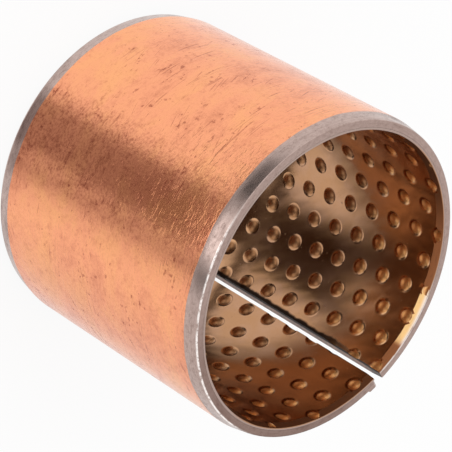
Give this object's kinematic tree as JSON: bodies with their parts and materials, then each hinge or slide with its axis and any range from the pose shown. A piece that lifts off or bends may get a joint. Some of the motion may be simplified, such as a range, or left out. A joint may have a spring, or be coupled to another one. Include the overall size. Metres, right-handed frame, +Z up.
{
  "type": "wrapped bimetal plain bushing",
  "caption": "Rolled steel-backed bronze sleeve bearing with an open split, chamfered ends and small lubricant pockets all over its bore.",
  "frame": {"origin": "centre of the lower end face, on the bush's axis", "axes": "+Z up the bush's axis, towards the upper end; the split faces +X"},
  "size_m": [0.0554, 0.0554, 0.05],
  "materials": {
    "copper_plated_steel": "thin copper plating outside, bare turned steel on the chamfers and end faces",
    "bronze": "rolled leaded bronze, slightly tarnished, satin"
  },
  "bodies": {
    "root": {"steel_backing": "copper_plated_steel", "bronze_lining": "bronze"}
  },
  "joints": []
}
